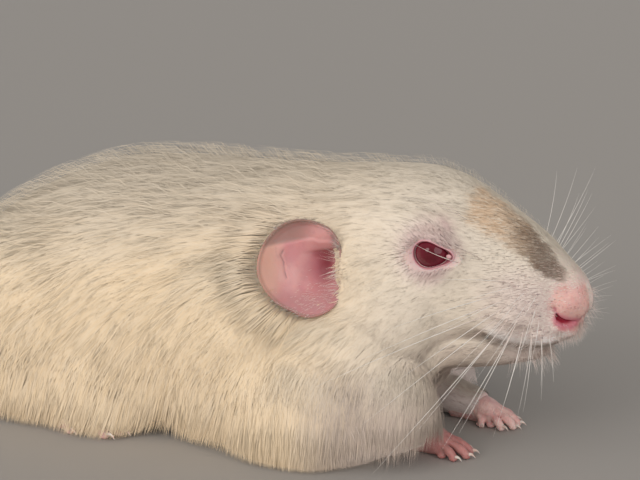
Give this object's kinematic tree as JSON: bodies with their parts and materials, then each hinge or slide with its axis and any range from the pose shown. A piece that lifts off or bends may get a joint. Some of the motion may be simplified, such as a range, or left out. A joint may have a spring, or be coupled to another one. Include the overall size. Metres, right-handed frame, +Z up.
{
  "type": "dumbo rat",
  "caption": "A pale cream dumbo rat lying at ease, with large round low-set ears, ruby eyes, a grey-tan patch along the muzzle and its tail curled round to one side.",
  "frame": {"origin": "middle of the bounding box, on the floor that the rat lies on", "axes": "+X towards the nose, +Y to the rat's left, +Z up"},
  "size_m": [0.1994, 0.1216, 0.0522],
  "materials": {
    "coat": "soft pale cream fur",
    "face": "short white fur with a grey-tan patch on the muzzle",
    "skin": "bare pink skin",
    "ear": "thin pink skin with fine down",
    "tail": "pink scaly skin with fine bristles",
    "eye": "wet, dark ruby"
  },
  "bodies": {
    "root": {"ear_left": "ear", "ear_right": "ear", "eye_left": "eye", "eye_right": "eye", "fore_leg_left": "coat", "fore_leg_right": "coat", "forepaw_left": "skin", "forepaw_right": "skin", "head": "face", "hind_foot_left": "skin", "hind_foot_right": "skin", "hind_leg_left": "coat", "hind_leg_right": "coat", "neck": "coat", "tail_1": "tail", "tail_2": "tail", "tail_3": "tail", "tail_4": "tail", "torso": "coat"}
  },
  "joints": []
}
